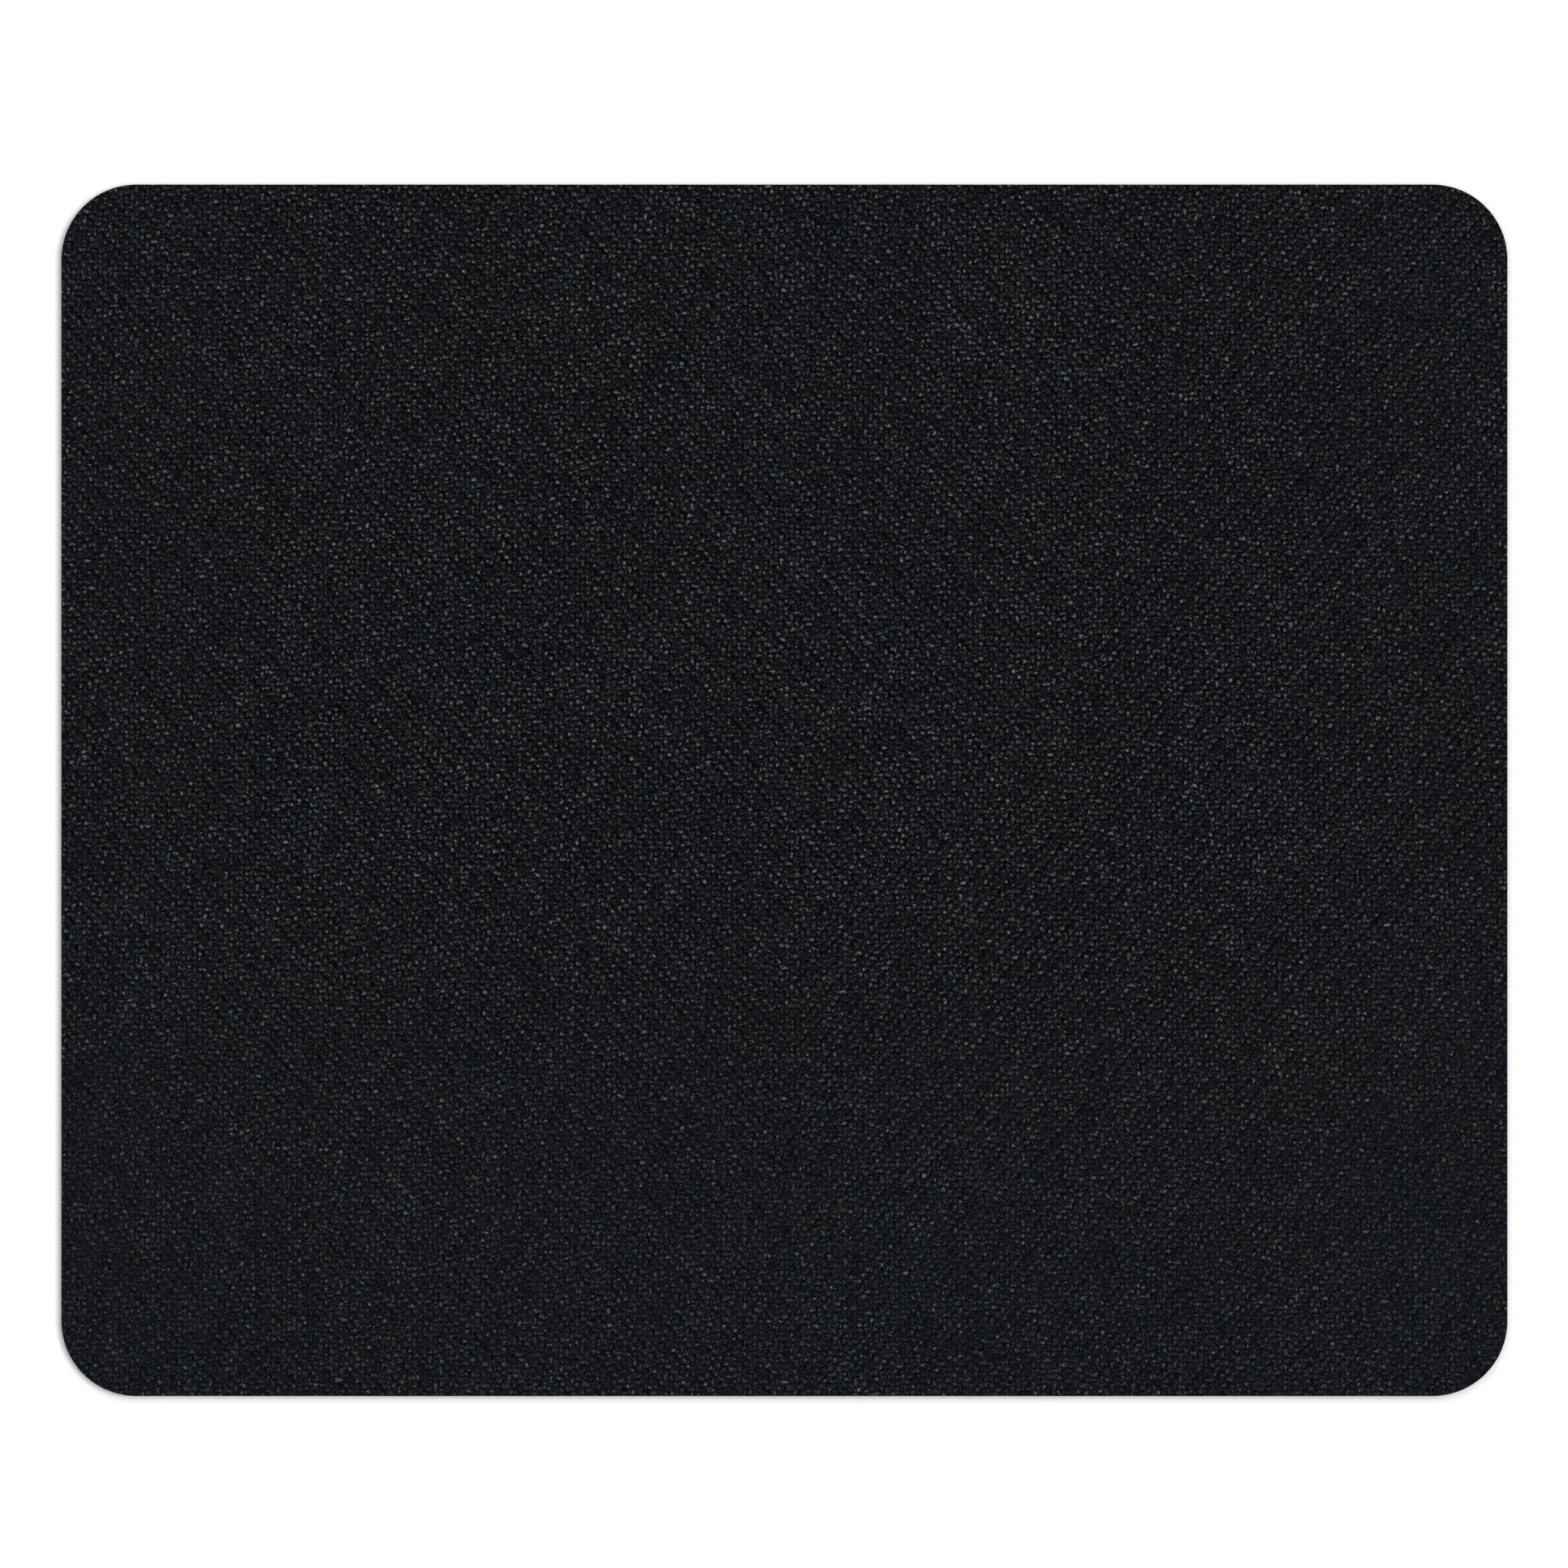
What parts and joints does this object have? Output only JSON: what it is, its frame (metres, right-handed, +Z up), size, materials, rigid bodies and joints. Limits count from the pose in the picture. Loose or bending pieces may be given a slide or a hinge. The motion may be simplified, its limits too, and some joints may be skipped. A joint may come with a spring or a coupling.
{
  "type": "mouse pad",
  "caption": "Thin flexible mouse pad with rounded corners: woven cloth face on a sponge rubber core with a non-slip rubber underside.",
  "frame": {"origin": "centre of the underside, where the pad rests on the desk", "axes": "+X along the long side, +Y along the short side, +Z up out of the cloth face"},
  "size_m": [0.235, 0.1968, 0.003],
  "materials": {
    "cloth": "fine woven polyester, black with a faint blue cast, matt with small soft glints on the yarn tops",
    "film": "thin hot-melt adhesive film, dark and slightly satin where the edge is cut",
    "sponge": "black sponge rubber, matt, fine open pores on the cut edge",
    "grip": "dense black rubber, matt, moulded anti-slip relief"
  },
  "bodies": {
    "root": {"cloth_face": "cloth", "adhesive_film": "film", "sponge_core": "sponge", "grip_skin": "grip"}
  },
  "joints": []
}
